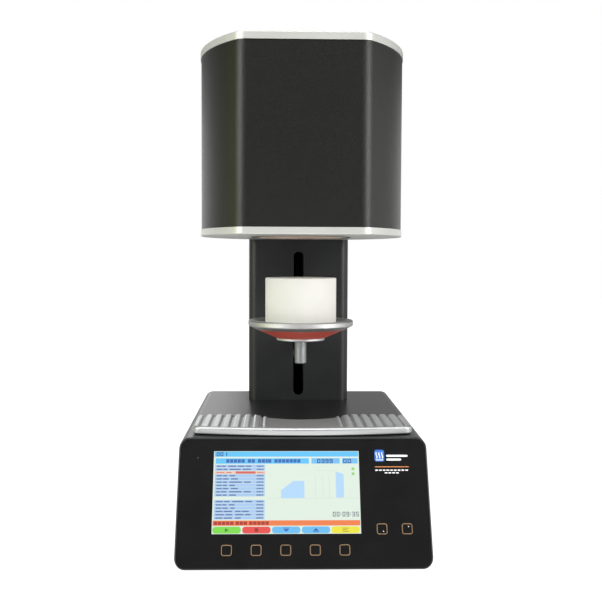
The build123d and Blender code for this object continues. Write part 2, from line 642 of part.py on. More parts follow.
with BuildPart() as chamber_seal:
    with BuildSketch(Plane.XZ.offset(-AXIS_Y)):
        with Locations((SEAL_RADIUS, HEAD_BOTTOM + SEAL_SECTION - SEAL_PROUD)):
            Circle(SEAL_SECTION)
    revolve(axis=Axis((0, AXIS_Y, 0), (0, 0, 1)))

MUFFLE_BOTTOM = 398.0
MUFFLE_TOP = 468.0
MUFFLE_OUTER = 50.0
INSULATION_OUTER = 58.5
COIL_RADIUS = 51.3
COIL_WIRE = 1.0
COIL_PITCH = 6.0
COIL_BOTTOM = 404.0
COIL_HEIGHT = 60.0
VESSEL_OUTER = 62.0
VESSEL_FLANGE = 66.0
VESSEL_TOP = 492.0

insulation_sleeve = turned([
    (CHAMBER_RADIUS, JACKET_BOTTOM), (INSULATION_OUTER, JACKET_BOTTOM), (INSULATION_OUTER, MUFFLE_TOP),
    (53, MUFFLE_TOP), (53, MUFFLE_BOTTOM), (CHAMBER_RADIUS, MUFFLE_BOTTOM),
])

with BuildPart() as heating_muffle:
    tube(0, AXIS_Y, MUFFLE_BOTTOM, MUFFLE_TOP, MUFFLE_OUTER, CHAMBER_RADIUS)

with BuildPart() as heating_coil:
    with BuildLine(Plane((0, AXIS_Y, COIL_BOTTOM))):
        Helix(COIL_PITCH, COIL_HEIGHT, COIL_RADIUS)
    with BuildSketch(Plane(origin=(COIL_RADIUS, AXIS_Y, COIL_BOTTOM), z_dir=(0, 1, 0))):
        Circle(COIL_WIRE)
    sweep(is_frenet=True)

with BuildPart() as insulation_lid:
    rod(0, AXIS_Y, MUFFLE_TOP, VESSEL_TOP - WALL, INSULATION_OUTER)
    rod(0, AXIS_Y, MUFFLE_TOP, VESSEL_TOP, 1.7, mode=Mode.SUBTRACT)

vacuum_vessel = turned([
    (1.8, VESSEL_TOP), (VESSEL_OUTER, VESSEL_TOP), (VESSEL_OUTER, JACKET_BOTTOM + 4),
    (VESSEL_FLANGE, JACKET_BOTTOM + 4), (VESSEL_FLANGE, JACKET_BOTTOM),
    (INSULATION_OUTER + 0.1, JACKET_BOTTOM), (INSULATION_OUTER + 0.1, VESSEL_TOP - WALL + 0.1),
    (1.8, VESSEL_TOP - WALL + 0.1),
])

THERMOCOUPLE_TIP = 452.0
with BuildPart() as thermocouple:
    rod(0, AXIS_Y, THERMOCOUPLE_TIP, VESSEL_TOP + 6, 1.5)
    rod(0, AXIS_Y, VESSEL_TOP, VESSEL_TOP + 14, 7)
    fillet(thermocouple.edges().sort_by(Axis.Z)[0], radius=1.2)

BRACKET_PLATE = 6.0
BRACKET_FRONT = 68.0
with BuildPart() as head_bracket:
    box(
        (-BRACKET_HALF, BRACKET_FRONT, JACKET_BOTTOM),
        (BRACKET_HALF, FRAME_PLATE_FRONT, JACKET_BOTTOM + BRACKET_PLATE),
    )
    box(
        (-BRACKET_HALF, FRAME_PLATE_FRONT - BRACKET_PLATE, JACKET_BOTTOM),
        (BRACKET_HALF, FRAME_PLATE_FRONT, BRACKET_TOP),
    )
    for x in (-BRACKET_HALF, BRACKET_HALF - BRACKET_PLATE):
        with BuildSketch(Plane.YZ.offset(x)):
            with BuildLine():
                Polyline(
                    (BRACKET_FRONT, JACKET_BOTTOM), (FRAME_PLATE_FRONT, JACKET_BOTTOM),
                    (FRAME_PLATE_FRONT, BRACKET_TOP), (COLUMN_FRONT + 10, BRACKET_TOP),
                    (BRACKET_FRONT, JACKET_BOTTOM + 20), close=True,
                )
            make_face()
        extrude(amount=BRACKET_PLATE)

# ---- base interior ----
PIPE_X = 56.0
PIPE_RADIUS = 3.0
PIPE_LEVEL = 456.0
VALVE_TOP = 60.0
with BuildPart() as vacuum_pipe:
    with BuildLine() as pipe_route:
        FilletPolyline(
            (0, AXIS_Y + VESSEL_OUTER, PIPE_LEVEL), (0, SCREW_Y, PIPE_LEVEL),
            (PIPE_X, SCREW_Y, PIPE_LEVEL), (PIPE_X, SCREW_Y, VALVE_TOP),
            radius=14,
        )
    with BuildSketch(Plane(origin=pipe_route.line @ 0, z_dir=pipe_route.line % 0)):
        Circle(PIPE_RADIUS)
        Circle(PIPE_RADIUS - 1, mode=Mode.SUBTRACT)
    sweep()

with BuildPart() as vacuum_valve:
    box((PIPE_X - 14, SCREW_Y - 18, FRAME_BOTTOM), (PIPE_X + 14, FRAME_PLATE_FRONT - 24, VALVE_TOP - 8))
    rod(PIPE_X, SCREW_Y - 9, VALVE_TOP - 8, VALVE_TOP, 8)

with BuildPart() as mains_transformer:
    box((-105, 20, FRAME_BOTTOM), (-35, 92, FRAME_BOTTOM + 58))
    fillet(mains_transformer.edges().filter_by(Axis.Z), radius=3)
    box((-95, 12, FRAME_BOTTOM + 12), (-45, 100, FRAME_BOTTOM + 46))

with BuildPart() as power_relay:
    box((35, 20, FRAME_BOTTOM), (105, 90, FRAME_BOTTOM + 6))
    for fin in range(9):
        x = 36 + 8.2 * fin
        box((x, 20, FRAME_BOTTOM + 6), (x + 2, 90, FRAME_BOTTOM + 30))
    box((48, 34, FRAME_BOTTOM + 30), (92, 76, FRAME_BOTTOM + 52))

BOARD_Z = 20.0
with BuildPart() as control_board:
    box((-80, -110, BOARD_Z), (80, -20, BOARD_Z + 1.6))
    box((-60, -90, BOARD_Z + 1.6), (-30, -60, BOARD_Z + 5))
    box((10, -95, BOARD_Z + 1.6), (50, -75, BOARD_Z + 14))
    box((60, -60, BOARD_Z + 1.6), (74, -26, BOARD_Z + 12))
    for x in (-74, 74):
        for y in (-104, -26):
            rod(x, y, FOOT_HEIGHT + PLATE_THICKNESS, BOARD_Z, 3)

# ---- rear: mains inlet with switch and fuse drawer, hose nipple ----
INLET_FACE = BASE_BACK + 2.0
INLET_INNER = 160.0
SOCKET_HALF_WIDTH = 12.0
SOCKET_HALF_HEIGHT = 8.25
SOCKET_FLOOR = INLET_FACE - 16.0
SOCKET_Z = INLET_Z - 2.0
SWITCH_Z = INLET_Z + 22.0
SWITCH_PIVOT_Y = INLET_FACE - 4.0
SWITCH_RADIUS = 7.0
SWITCH_TILT = 8.0
FUSE_Z = INLET_Z - 22.0
FUSE_HALF_WIDTH = 11.0
FUSE_HALF_HEIGHT = 5.0
FUSE_DEPTH = 24.0
FIT = 0.3

with BuildPart() as mains_inlet:
    box(
        (INLET_X - INLET_HALF_WIDTH, BASE_BACK, INLET_Z - INLET_HALF_HEIGHT),
        (INLET_X + INLET_HALF_WIDTH, INLET_FACE, INLET_Z + INLET_HALF_HEIGHT),
    )
    fillet(mains_inlet.edges().filter_by(Axis.Y), radius=2.5)
    box(
        (INLET_X - INLET_HALF_WIDTH + 2.3, INLET_INNER, INLET_Z - INLET_HALF_HEIGHT + 2.3),
        (INLET_X + INLET_HALF_WIDTH - 2.3, BASE_BACK, INLET_Z + INLET_HALF_HEIGHT - 2.3),
    )
    box(
        (INLET_X - SOCKET_HALF_WIDTH, SOCKET_FLOOR, SOCKET_Z - SOCKET_HALF_HEIGHT),
        (INLET_X + SOCKET_HALF_WIDTH, INLET_FACE + 1, SOCKET_Z + SOCKET_HALF_HEIGHT),
        mode=Mode.SUBTRACT,
    )
    box(
        (INLET_X - 9.5 - FIT, SWITCH_PIVOT_Y - 9, SWITCH_Z - SWITCH_RADIUS - FIT),
        (INLET_X + 9.5 + FIT, INLET_FACE + 1, SWITCH_Z + SWITCH_RADIUS + FIT),
        mode=Mode.SUBTRACT,
    )
    box(
        (INLET_X - FUSE_HALF_WIDTH - FIT, INLET_FACE - FUSE_DEPTH - FIT, FUSE_Z - FUSE_HALF_HEIGHT - FIT),
        (INLET_X + FUSE_HALF_WIDTH + FIT, INLET_FACE + 1, FUSE_Z + FUSE_HALF_HEIGHT + FIT),
        mode=Mode.SUBTRACT,
    )

PIN_TIP = INLET_FACE - 5.5
with BuildPart() as inlet_pins:
    for x, z in ((-7, -1.5), (0, 1.5), (7, -1.5)):
        box(
            (INLET_X + x - 1, SOCKET_FLOOR, SOCKET_Z + z - 2),
            (INLET_X + x + 1, PIN_TIP, SOCKET_Z + z + 2),
        )
    chamfer(inlet_pins.faces().group_by(Axis.Y)[-1].edges(), length=0.5)

with BuildPart() as fuse_drawer:
    box(
        (INLET_X - FUSE_HALF_WIDTH, INLET_FACE - FUSE_DEPTH, FUSE_Z - FUSE_HALF_HEIGHT),
        (INLET_X + FUSE_HALF_WIDTH, INLET_FACE, FUSE_Z + FUSE_HALF_HEIGHT),
    )
    box((INLET_X - 4, INLET_FACE, FUSE_Z - 1), (INLET_X + 4, INLET_FACE + 1.4, FUSE_Z + 1))
    box(
        (INLET_X - 8.5, INLET_FACE - FUSE_DEPTH + 2, FUSE_Z - 2),
        (INLET_X + 8.5, INLET_FACE - 3, FUSE_Z + FUSE_HALF_HEIGHT),
        mode=Mode.SUBTRACT,
    )

# The rocker is a short cylinder about its pivot, with two flats that meet in a ridge.
far = 30.0
lean = radians(2 * SWITCH_TILT)
ridge = (SWITCH_PIVOT_Y + 5.0, SWITCH_Z)
with BuildPart() as power_switch:
    with BuildSketch(Plane.YZ.offset(INLET_X - 9.5)):
        with Locations((SWITCH_PIVOT_Y, SWITCH_Z)):
            Circle(SWITCH_RADIUS)
        with BuildLine():
            Polyline(
                ridge, (ridge[0], ridge[1] + far), (ridge[0] + far, ridge[1] + far),
                (ridge[0] + far, ridge[1] - far),
                (ridge[0] - far * sin(lean), ridge[1] - far * cos(lean)),
                close=True,
            )
        make_face(mode=Mode.SUBTRACT)
    extrude(amount=19)

with BuildPart() as hose_nipple:
    with BuildSketch(Plane.XZ.offset(-REAR_LIMIT)):
        with Locations((NIPPLE_X, NIPPLE_Z)):
            Circle(NIPPLE_RADIUS)
    extrude(amount=REAR_LIMIT - 168)
    with BuildSketch(Plane.XZ.offset(-BASE_BACK - 2.4)):
        with Locations((NIPPLE_X, NIPPLE_Z)):
            RegularPolygon(8, 6)
    extrude(amount=2.4)
    with BuildSketch(Plane.XZ.offset(-REAR_LIMIT)):
        with Locations((NIPPLE_X, NIPPLE_Z)):
            Circle(2.4)
    extrude(amount=REAR_LIMIT - 168, mode=Mode.SUBTRACT)

# ---- finished pieces ----
nodes = {
    "base_housing": base_housing,
    "base_plate": base_plate,
    "rubber_feet": rubber_feet,
    "plate_screws": plate_screws,
    "control_panel": control_panel,
    "status_led": status_led,
    "display_screen": display_screen,
    "display_frame": display_frame,
    "key_board": key_board,
    "cooling_tray": cooling_tray,
    "column_cover": column_cover,
    "column_frame": column_frame,
    "bearing_blocks": bearing_blocks,
    "screw_bearings": screw_bearings,
    "guide_rods": guide_rods,
    "lift_motor": lift_motor,
    "lead_screw": lead_screw,
    "shaft_coupling": shaft_coupling,
    "limit_switches": limit_switches,
    "lift_carriage": lift_carriage,
    "guide_bushes": guide_bushes,
    "lift_nut": lift_nut,
    "lift_arm": lift_arm,
    "table_stem": table_stem,
    "table_collar": table_collar,
    "table_cone": table_cone,
    "table_insulation": table_insulation,
    "firing_table": firing_table,
    "firing_pedestal": firing_pedestal,
    "head_plate": head_plate,
    "head_jacket": head_jacket,
    "head_cap": head_cap,
    "cap_screws": cap_screws,
    "tie_rods": tie_rods,
    "chamber_ring": chamber_ring,
    "chamber_seal": chamber_seal,
    "insulation_sleeve": insulation_sleeve,
    "heating_muffle": heating_muffle,
    "heating_coil": heating_coil,
    "insulation_lid": insulation_lid,
    "vacuum_vessel": vacuum_vessel,
    "thermocouple": thermocouple,
    "head_bracket": head_bracket,
    "vacuum_pipe": vacuum_pipe,
    "vacuum_valve": vacuum_valve,
    "mains_transformer": mains_transformer,
    "power_relay": power_relay,
    "control_board": control_board,
    "mains_inlet": mains_inlet,
    "inlet_pins": inlet_pins,
    "fuse_drawer": fuse_drawer,
    "power_switch": power_switch,
    "hose_nipple": hose_nipple,
}
nodes.update(key_caps)

for name, node in nodes.items():
    node.part.label = name
    export_step(node.part, f"parts/{name}.step")
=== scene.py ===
import json
import math

import bmesh
import bpy
from mathutils import Matrix, Vector

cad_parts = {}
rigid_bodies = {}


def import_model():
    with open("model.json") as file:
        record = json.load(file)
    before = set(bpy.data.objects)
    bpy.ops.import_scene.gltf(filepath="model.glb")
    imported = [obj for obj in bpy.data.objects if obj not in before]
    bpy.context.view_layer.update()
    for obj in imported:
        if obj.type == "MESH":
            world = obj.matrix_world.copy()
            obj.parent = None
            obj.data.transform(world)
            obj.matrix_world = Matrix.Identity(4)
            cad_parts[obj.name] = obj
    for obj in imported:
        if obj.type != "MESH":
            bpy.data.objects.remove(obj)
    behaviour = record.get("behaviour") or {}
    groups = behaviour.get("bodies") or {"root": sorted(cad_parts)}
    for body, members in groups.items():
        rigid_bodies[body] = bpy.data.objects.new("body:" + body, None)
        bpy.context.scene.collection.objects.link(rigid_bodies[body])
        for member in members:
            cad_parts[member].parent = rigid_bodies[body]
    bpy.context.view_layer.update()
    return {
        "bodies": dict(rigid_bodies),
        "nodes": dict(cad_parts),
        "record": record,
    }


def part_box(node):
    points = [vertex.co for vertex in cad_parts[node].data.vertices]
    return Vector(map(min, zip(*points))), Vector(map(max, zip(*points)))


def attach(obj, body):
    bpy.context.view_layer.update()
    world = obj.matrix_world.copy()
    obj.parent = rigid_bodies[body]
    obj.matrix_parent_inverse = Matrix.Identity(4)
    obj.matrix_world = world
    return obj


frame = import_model()

MM = 0.001
nodes_by_name = frame["nodes"]


# ---------------------------------------------------------------- camera
def place_camera():
    """A camera in front of the kiln, below its head and a little to the left, looking slightly down."""
    yaw, pitch, roll = 0.025, 0.048, 0.004
    forward = Vector((math.sin(yaw) * math.cos(pitch), math.cos(yaw) * math.cos(pitch), -math.sin(pitch)))
    level_right = Vector((math.cos(yaw), -math.sin(yaw), 0))
    level_up = level_right.cross(forward)
    right = level_right * math.cos(roll) + level_up * math.sin(roll)
    up = level_up * math.cos(roll) - level_right * math.sin(roll)
    data = bpy.data.cameras.new("camera")
    data.sensor_width = 36.0
    data.lens = 51.71
    camera = bpy.data.objects.new("camera", data)
    bpy.context.scene.collection.objects.link(camera)
    turn = Matrix((right, up, -forward)).transposed().to_4x4()
    camera.matrix_world = Matrix.Translation((-0.0260, -1.0633, 0.3185)) @ turn
    data.clip_start = 0.05
    data.clip_end = 20
    bpy.context.scene.camera = camera


# ---------------------------------------------------------------- materials
class Recipe:
    """The node tree of one material, with the few node types that the materials share."""

    def __init__(self, name):
        self.material = bpy.data.materials.new(name)
        self.material.use_nodes = True
        self.tree = self.material.node_tree
        self.shader = self.tree.nodes["Principled BSDF"]
        self.place = self.tree.nodes.new("ShaderNodeTexCoord").outputs["Object"]

    def node(self, kind, **settings):
        made = self.tree.nodes.new(kind)
        for key, value in settings.items():
            setattr(made, key, value)
        return made

    def link(self, output, target):
        self.tree.links.new(output, target)

    def stretched(self, scale):
        """Object coordinates, multiplied by a scale along each axis."""
        mapping = self.node("ShaderNodeMapping")
        mapping.inputs["Scale"].default_value = scale
        self.link(self.place, mapping.inputs["Vector"])
        return mapping.outputs["Vector"]

    def noise(self, scale, detail=3.0, vector=None):
        texture = self.node("ShaderNodeTexNoise")
        texture.inputs["Scale"].default_value = scale
        texture.inputs["Detail"].default_value = detail
        self.link(vector or self.place, texture.inputs["Vector"])
        return texture.outputs["Fac"]

    def ramp(self, value, stops, target):
        """Colours along a value, into a colour socket."""
        ramp = self.node("ShaderNodeValToRGB")
        elements = ramp.color_ramp.elements
        while len(elements) < len(stops):
            elements.new(0.5)
        for element, (position, color) in zip(elements, stops):
            element.position = position
            element.color = (*color, 1)
        self.link(value, ramp.inputs["Fac"])
        self.link(ramp.outputs["Color"], target)

    def spread(self, value, low, high, target, start=0.3, end=0.7):
        """A value mapped to a range, into a number socket."""
        spread = self.node("ShaderNodeMapRange")
        spread.inputs["From Min"].default_value = start
        spread.inputs["From Max"].default_value = end
        spread.inputs["To Min"].default_value = low
        spread.inputs["To Max"].default_value = high
        self.link(value, spread.inputs["Value"])
        self.link(spread.outputs["Result"], target)

    def bump(self, height, strength, distance):
        bump = self.node("ShaderNodeBump")
        bump.inputs["Strength"].default_value = strength
        bump.inputs["Distance"].default_value = distance
        self.link(height, bump.inputs["Height"])
        self.link(bump.outputs["Normal"], self.shader.inputs["Normal"])

    def set(self, **sockets):
        for name, value in sockets.items():
            self.shader.inputs[name.replace("_", " ")].default_value = value


def shade(color, factor):
    return tuple(min(1.0, channel * factor) for channel in color)


def surface(name, color, roughness, metallic=0.0, cloud=25.0, variation=0.12, grain=900.0,
            relief=0.15, depth=0.0002, rough_variation=0.06, **sockets):
    """A painted, moulded or cast surface: soft colour clouds, uneven gloss and fine relief."""
    recipe = Recipe(name)
    clouds = recipe.noise(cloud, 4.0)
    fine = recipe.noise(grain, 3.0)
    stops = [(0.3, shade(color, 1 - variation)), (0.7, shade(color, 1 + variation))]
    recipe.ramp(clouds, stops, recipe.shader.inputs["Base Color"])
    smooth, rough = roughness - rough_variation, roughness + rough_variation
    recipe.spread(fine, smooth, rough, recipe.shader.inputs["Roughness"])
    recipe.bump(fine, relief, depth)
    recipe.set(Metallic=metallic, **sockets)
    return recipe.material


def turned_metal(name, color, roughness, centre):
    """Metal turned on a lathe: fine rings about an upright axis."""
    recipe = Recipe(name)
    split = recipe.node("ShaderNodeSeparateXYZ")
    shifted = recipe.node("ShaderNodeVectorMath", operation="SUBTRACT")
    shifted.inputs[1].default_value = (*centre, 0)
    recipe.link(recipe.place, shifted.inputs[0])
    recipe.link(shifted.outputs["Vector"], split.inputs["Vector"])
    flat = recipe.node("ShaderNodeCombineXYZ")
    recipe.link(split.outputs["X"], flat.inputs["X"])
    recipe.link(split.outputs["Y"], flat.inputs["Y"])
    radius = recipe.node("ShaderNodeVectorMath", operation="LENGTH")
    recipe.link(flat.outputs["Vector"], radius.inputs[0])
    rings = recipe.node("ShaderNodeCombineXYZ")
    recipe.link(radius.outputs["Value"], rings.inputs["X"])
    recipe.link(split.outputs["Z"], rings.inputs["Y"])
    lathe = recipe.noise(2500.0, 2.0, rings.outputs["Vector"])
    clouds = recipe.noise(30.0, 3.0)
    stops = [(0.3, shade(color, 0.93)), (0.7, shade(color, 1.05))]
    recipe.ramp(clouds, stops, recipe.shader.inputs["Base Color"])
    recipe.spread(lathe, roughness - 0.05, roughness + 0.08, recipe.shader.inputs["Roughness"])
    recipe.bump(lathe, 0.12, 0.00005)
    recipe.set(Metallic=1.0)
    return recipe.material


def brushed_metal(name, color, roughness, along=(1, 1, 0.04)):
    """Metal with fine lines along one axis."""
    recipe = Recipe(name)
    lines = recipe.noise(1800.0, 2.0, recipe.stretched(along))
    clouds = recipe.noise(20.0, 3.0)
    stops = [(0.3, shade(color, 0.92)), (0.7, shade(color, 1.05))]
    recipe.ramp(clouds, stops, recipe.shader.inputs["Base Color"])
    recipe.spread(lines, roughness - 0.08, roughness + 0.1, recipe.shader.inputs["Roughness"])
    recipe.bump(lines, 0.1, 0.00005)
    recipe.set(Metallic=1.0)
    return recipe.material


def lit(name, color, strength=1.0):
    """A lit part of the display, with the faint grid of its dots."""
    recipe = Recipe(name)
    dots = recipe.noise(2600.0, 1.0)
    stops = [(0.35, shade(color, 0.94)), (0.65, shade(color, 1.04))]
    recipe.ramp(dots, stops, recipe.shader.inputs["Emission Color"])
    recipe.set(Base_Color=(0.01, 0.01, 0.01, 1), Emission_Strength=strength, Roughness=0.5)
    return recipe.material


def srgb(red, green, blue):
    """A display colour, as three numbers from 0 to 255, as linear light."""
    shares = [value / 255 for value in (red, green, blue)]
    return tuple(((c + 0.055) / 1.055) ** 2.4 if c > 0.04 else c / 12.92 for c in shares)


table_low, table_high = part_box("firing_table")
TABLE_AXIS = tuple(((table_low + table_high) / 2).xy)


def make_materials():
    """Every finish of the object, by the record's slot name."""
    return {
        "black_paint": surface("black_paint", srgb(43, 44, 45), 0.34, grain=1400, relief=0.25, depth=0.00012,
                               Specular_IOR_Level=0.32),
        "textured_black": surface("textured_black", srgb(23, 24, 20), 0.35, grain=1100, relief=0.8, depth=0.0003,
                                  variation=0.3, cloud=1300, Specular_IOR_Level=0.45),
        "gloss_black": surface("gloss_black", srgb(28, 28, 29), 0.10, grain=400, relief=0.02, depth=0.0001,
                               rough_variation=0.03, Coat_Weight=0.3, Coat_Roughness=0.05),
        "screen_glass": lit("screen_glass", srgb(228, 243, 230), 0.95),
        "led_lens": surface("led_lens", srgb(52, 52, 52), 0.3, grain=2500),
        "cast_aluminium": surface("cast_aluminium", srgb(195, 197, 198), 0.36, metallic=0.7, grain=1500,
                                  relief=0.3, depth=0.0001, variation=0.05),
        "machined_aluminium": brushed_metal("machined_aluminium", srgb(200, 201, 203), 0.3),
        "silver_rim": surface("silver_rim", srgb(204, 204, 200), 0.36, metallic=0.35, grain=1800, relief=0.1,
                              variation=0.04),
        "polished_steel": turned_metal("polished_steel", srgb(200, 200, 199), 0.48, TABLE_AXIS),
        "bright_steel": brushed_metal("bright_steel", srgb(205, 205, 206), 0.22),
        "satin_steel": turned_metal("satin_steel", srgb(152, 154, 155), 0.5, TABLE_AXIS),
        "zinc_steel": surface("zinc_steel", srgb(170, 172, 176), 0.38, metallic=0.9, cloud=120, variation=0.15),
        # painted shade: near-black steel with little metal, darker than bare steel, so the lead screw looks as
        # dark as the shade inside the column's slot
        "dark_steel": surface("dark_steel", srgb(30, 30, 31), 0.55, metallic=0.2),
        "red_enamel": surface("red_enamel", srgb(194, 84, 70), 0.42, grain=700, relief=0.3),
        "white_ceramic": surface("white_ceramic", srgb(229, 228, 222), 0.7, cloud=35, variation=0.02, grain=1200,
                                 relief=0.3, depth=0.00015, rough_variation=0.1),
        "pink_ceramic": surface("pink_ceramic", srgb(206, 182, 166), 0.75, variation=0.06, relief=0.4),
        "muffle_ceramic": surface("muffle_ceramic", srgb(232, 226, 214), 0.7, variation=0.05, relief=0.3),
        "fibre": surface("fibre", srgb(228, 224, 212), 0.9, cloud=180, variation=0.08, relief=0.6, depth=0.0005),
        "coil_wire": surface("coil_wire", srgb(110, 102, 96), 0.5, metallic=0.8),
        "copper": brushed_metal("copper", srgb(205, 140, 105), 0.3),
        "bronze": brushed_metal("bronze", srgb(200, 168, 110), 0.3),
        "board": surface("board", srgb(40, 96, 60), 0.45, cloud=300, variation=0.25),
        "black_plastic": surface("black_plastic", srgb(38, 38, 39), 0.5, grain=1600, relief=0.4),
        "rubber": surface("rubber", srgb(34, 34, 35), 0.75, grain=1200, relief=0.4),
    }


materials = make_materials()


def dress_cad():
    """Gives every carried-over CAD node the material of its slot in the record."""
    slots = {row["node"]: row["material_slot"] for row in frame["record"]["subparts"]}
    for name, obj in nodes_by_name.items():
        obj.data.materials.clear()
        obj.data.materials.append(materials[slots[name]])


# ---------------------------------------------------------------- panel geometry
SLOPE = math.radians(25.4)
PANEL_UP = Vector((0, math.sin(SLOPE), math.cos(SLOPE)))
PANEL_OUT = Vector((0, -math.cos(SLOPE), math.sin(SLOPE)))


def find_panel_foot():
    """The point of the panel's front face that is level with the foot of the housing."""
    reach = max(vertex.co.dot(PANEL_OUT) for vertex in nodes_by_name["control_panel"].data.vertices)
    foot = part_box("base_housing")[0].z
    return Vector((0, (foot * math.sin(SLOPE) - reach) / math.cos(SLOPE), foot))


PANEL_FOOT = find_panel_foot()


def on_panel(x, up, out=0.0):
    """A point on the sloped panel. x is across, up is along the slope, out is off it, all in mm."""
    return PANEL_FOOT + Vector((x * MM, 0, 0)) + PANEL_UP * (up * MM) + PANEL_OUT * (out * MM)


def panel_place(point):
    """(across, up the slope) in mm of a point given in metres."""
    rise = (point - PANEL_FOOT).dot(PANEL_UP)
    return point.x / MM, rise / MM


def node_on_panel(name):
    """The middle of a CAD node, as a place on the panel."""
    low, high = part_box(name)
    return panel_place((low + high) / 2)


screen_low, screen_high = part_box("display_screen")
SCREEN_X = (screen_low.x + screen_high.x) / 2 / MM
SCREEN_WIDTH = (screen_high.x - screen_low.x) / MM
SCREEN_HEIGHT = 85.92
SCREEN_UP = node_on_panel("display_screen")[1]


class Plates:
    """A mesh of thin closed plates that lie on the panel, with one material."""

    def __init__(self, name, material, body="base", slot=None):
        self.name = name
        self.material = material
        self.body = body
        self.slot = slot
        self.mesh = bmesh.new()

    def plate(self, outline, low, high):
        """A closed plate with the given outline, (across, up) in mm, between two heights off the panel."""
        lower = [self.mesh.verts.new(on_panel(x, up, low)) for x, up in outline]
        upper = [self.mesh.verts.new(on_panel(x, up, high)) for x, up in outline]
        self.mesh.faces.new(list(reversed(lower)))
        self.mesh.faces.new(upper)
        count = len(outline)
        for i in range(count):
            j = (i + 1) % count
            self.mesh.faces.new((lower[i], lower[j], upper[j], upper[i]))

    def frame(self, outer, inner, low, high):
        """A closed ring between two outlines with the same number of points."""
        rings = []
        for outline, level in ((outer, low), (outer, high), (inner, high), (inner, low)):
            rings.append([self.mesh.verts.new(on_panel(x, up, level)) for x, up in outline])
        count = len(outer)
        for first, second in zip(rings, rings[1:] + rings[:1]):
            for i in range(count):
                j = (i + 1) % count
                self.mesh.faces.new((first[i], first[j], second[j], second[i]))

    def finish(self):
        data = bpy.data.meshes.new(self.name)
        bmesh.ops.recalc_face_normals(self.mesh, faces=self.mesh.faces)
        self.mesh.to_mesh(data)
        self.mesh.free()
        obj = bpy.data.objects.new(self.name, data)
        data.materials.append(self.material)
        bpy.context.scene.collection.objects.link(obj)
        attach(obj, self.body)
        return obj


def rounded(x, up, width, height, radius, steps=5):
    """The outline of a rounded rectangle about a middle."""
    radius = min(radius, width / 2, height / 2)
    points = []
    corners = ((1, -1, -90), (1, 1, 0), (-1, 1, 90), (-1, -1, 180))
    for side, rise, start in corners:
        cx = x + side * (width / 2 - radius)
        cy = up + rise * (height / 2 - radius)
        for i in range(steps + 1):
            angle = math.radians(start + 90 * i / steps)
            points.append((cx + radius * math.cos(angle), cy + radius * math.sin(angle)))
    return points


def bar(x0, up0, x1, up1):
    return [(x0, up0), (x1, up0), (x1, up1), (x0, up1)]


# ---------------------------------------------------------------- display
LAYER = 0.03
SCREEN_FACE = -0.1
SEGMENTS = {
    "0": "abcdef", "1": "bc", "2": "abged", "3": "abgcd", "4": "fgbc",
    "5": "afgcd", "6": "afgedc", "7": "abc", "8": "abcdefg", "9": "abfgcd",
}


def screen_x(u):
    return SCREEN_X - SCREEN_WIDTH / 2 + u * SCREEN_WIDTH


def screen_up(v):
    return SCREEN_UP + SCREEN_HEIGHT / 2 - v * SCREEN_HEIGHT


def screen_bar(plates, u0, v0, u1, v1, layer, radius=0.0):
    """A rectangle on the display; u runs across and v runs down, from 0 to 1."""
    low = SCREEN_FACE + LAYER * layer
    x0, x1, up0, up1 = screen_x(u0), screen_x(u1), screen_up(v1), screen_up(v0)
    if radius:
        outline = rounded((x0 + x1) / 2, (up0 + up1) / 2, x1 - x0, up1 - up0, radius, 3)
    else:
        outline = bar(x0, up0, x1, up1)
    plates.plate(outline, low, low + LAYER)


def digits(plates, text, x, up, height, layer, slender):
    """Plain seven-segment figures. x is the left edge and up the foot of the figures, in mm."""
    width = height * slender
    stroke = height * 0.2
    middle = height / 2
    spans = {
        "a": (0, height - stroke, width, height), "d": (0, 0, width, stroke),
        "g": (0, middle - stroke / 2, width, middle + stroke / 2),
        "f": (0, middle, stroke, height), "e": (0, 0, stroke, middle),
        "b": (width - stroke, middle, width, height), "c": (width - stroke, 0, width, middle),
    }
    low = SCREEN_FACE + LAYER * layer
    for letter in text:
        if letter == ":":
            for rise in (0.25, 0.65):
                foot = up + rise * height
                plates.plate(bar(x, foot, x + stroke, foot + stroke), low, low + LAYER)
            x += stroke * 2.2
            continue
        for index, segment in enumerate(SEGMENTS.get(letter, "")):
            x0, y0, x1, y1 = spans[segment]
            level = low + index * 0.001
            plates.plate(bar(x + x0, up + y0, x + x1, up + y1), level, level + LAYER)
        x += width * 1.28


def marks(plates, u0, u1, v, height, layer, pattern):
    """A row of short blocks that stands for a word. pattern gives each block's share of the width."""
    total = sum(abs(share) for share in pattern)
    start = u0
    for share in pattern:
        width = (u1 - u0) * abs(share) / total
        if share > 0:
            screen_bar(plates, start, v - height / 2, start + width * 0.86, v + height / 2, layer)
        start += width


def lit_plates(name, ink, color):
    """Plates on the display, lit in one colour."""
    return Plates(f"display_{name}", lit(f"display_{ink}", color), slot="screen_glass")


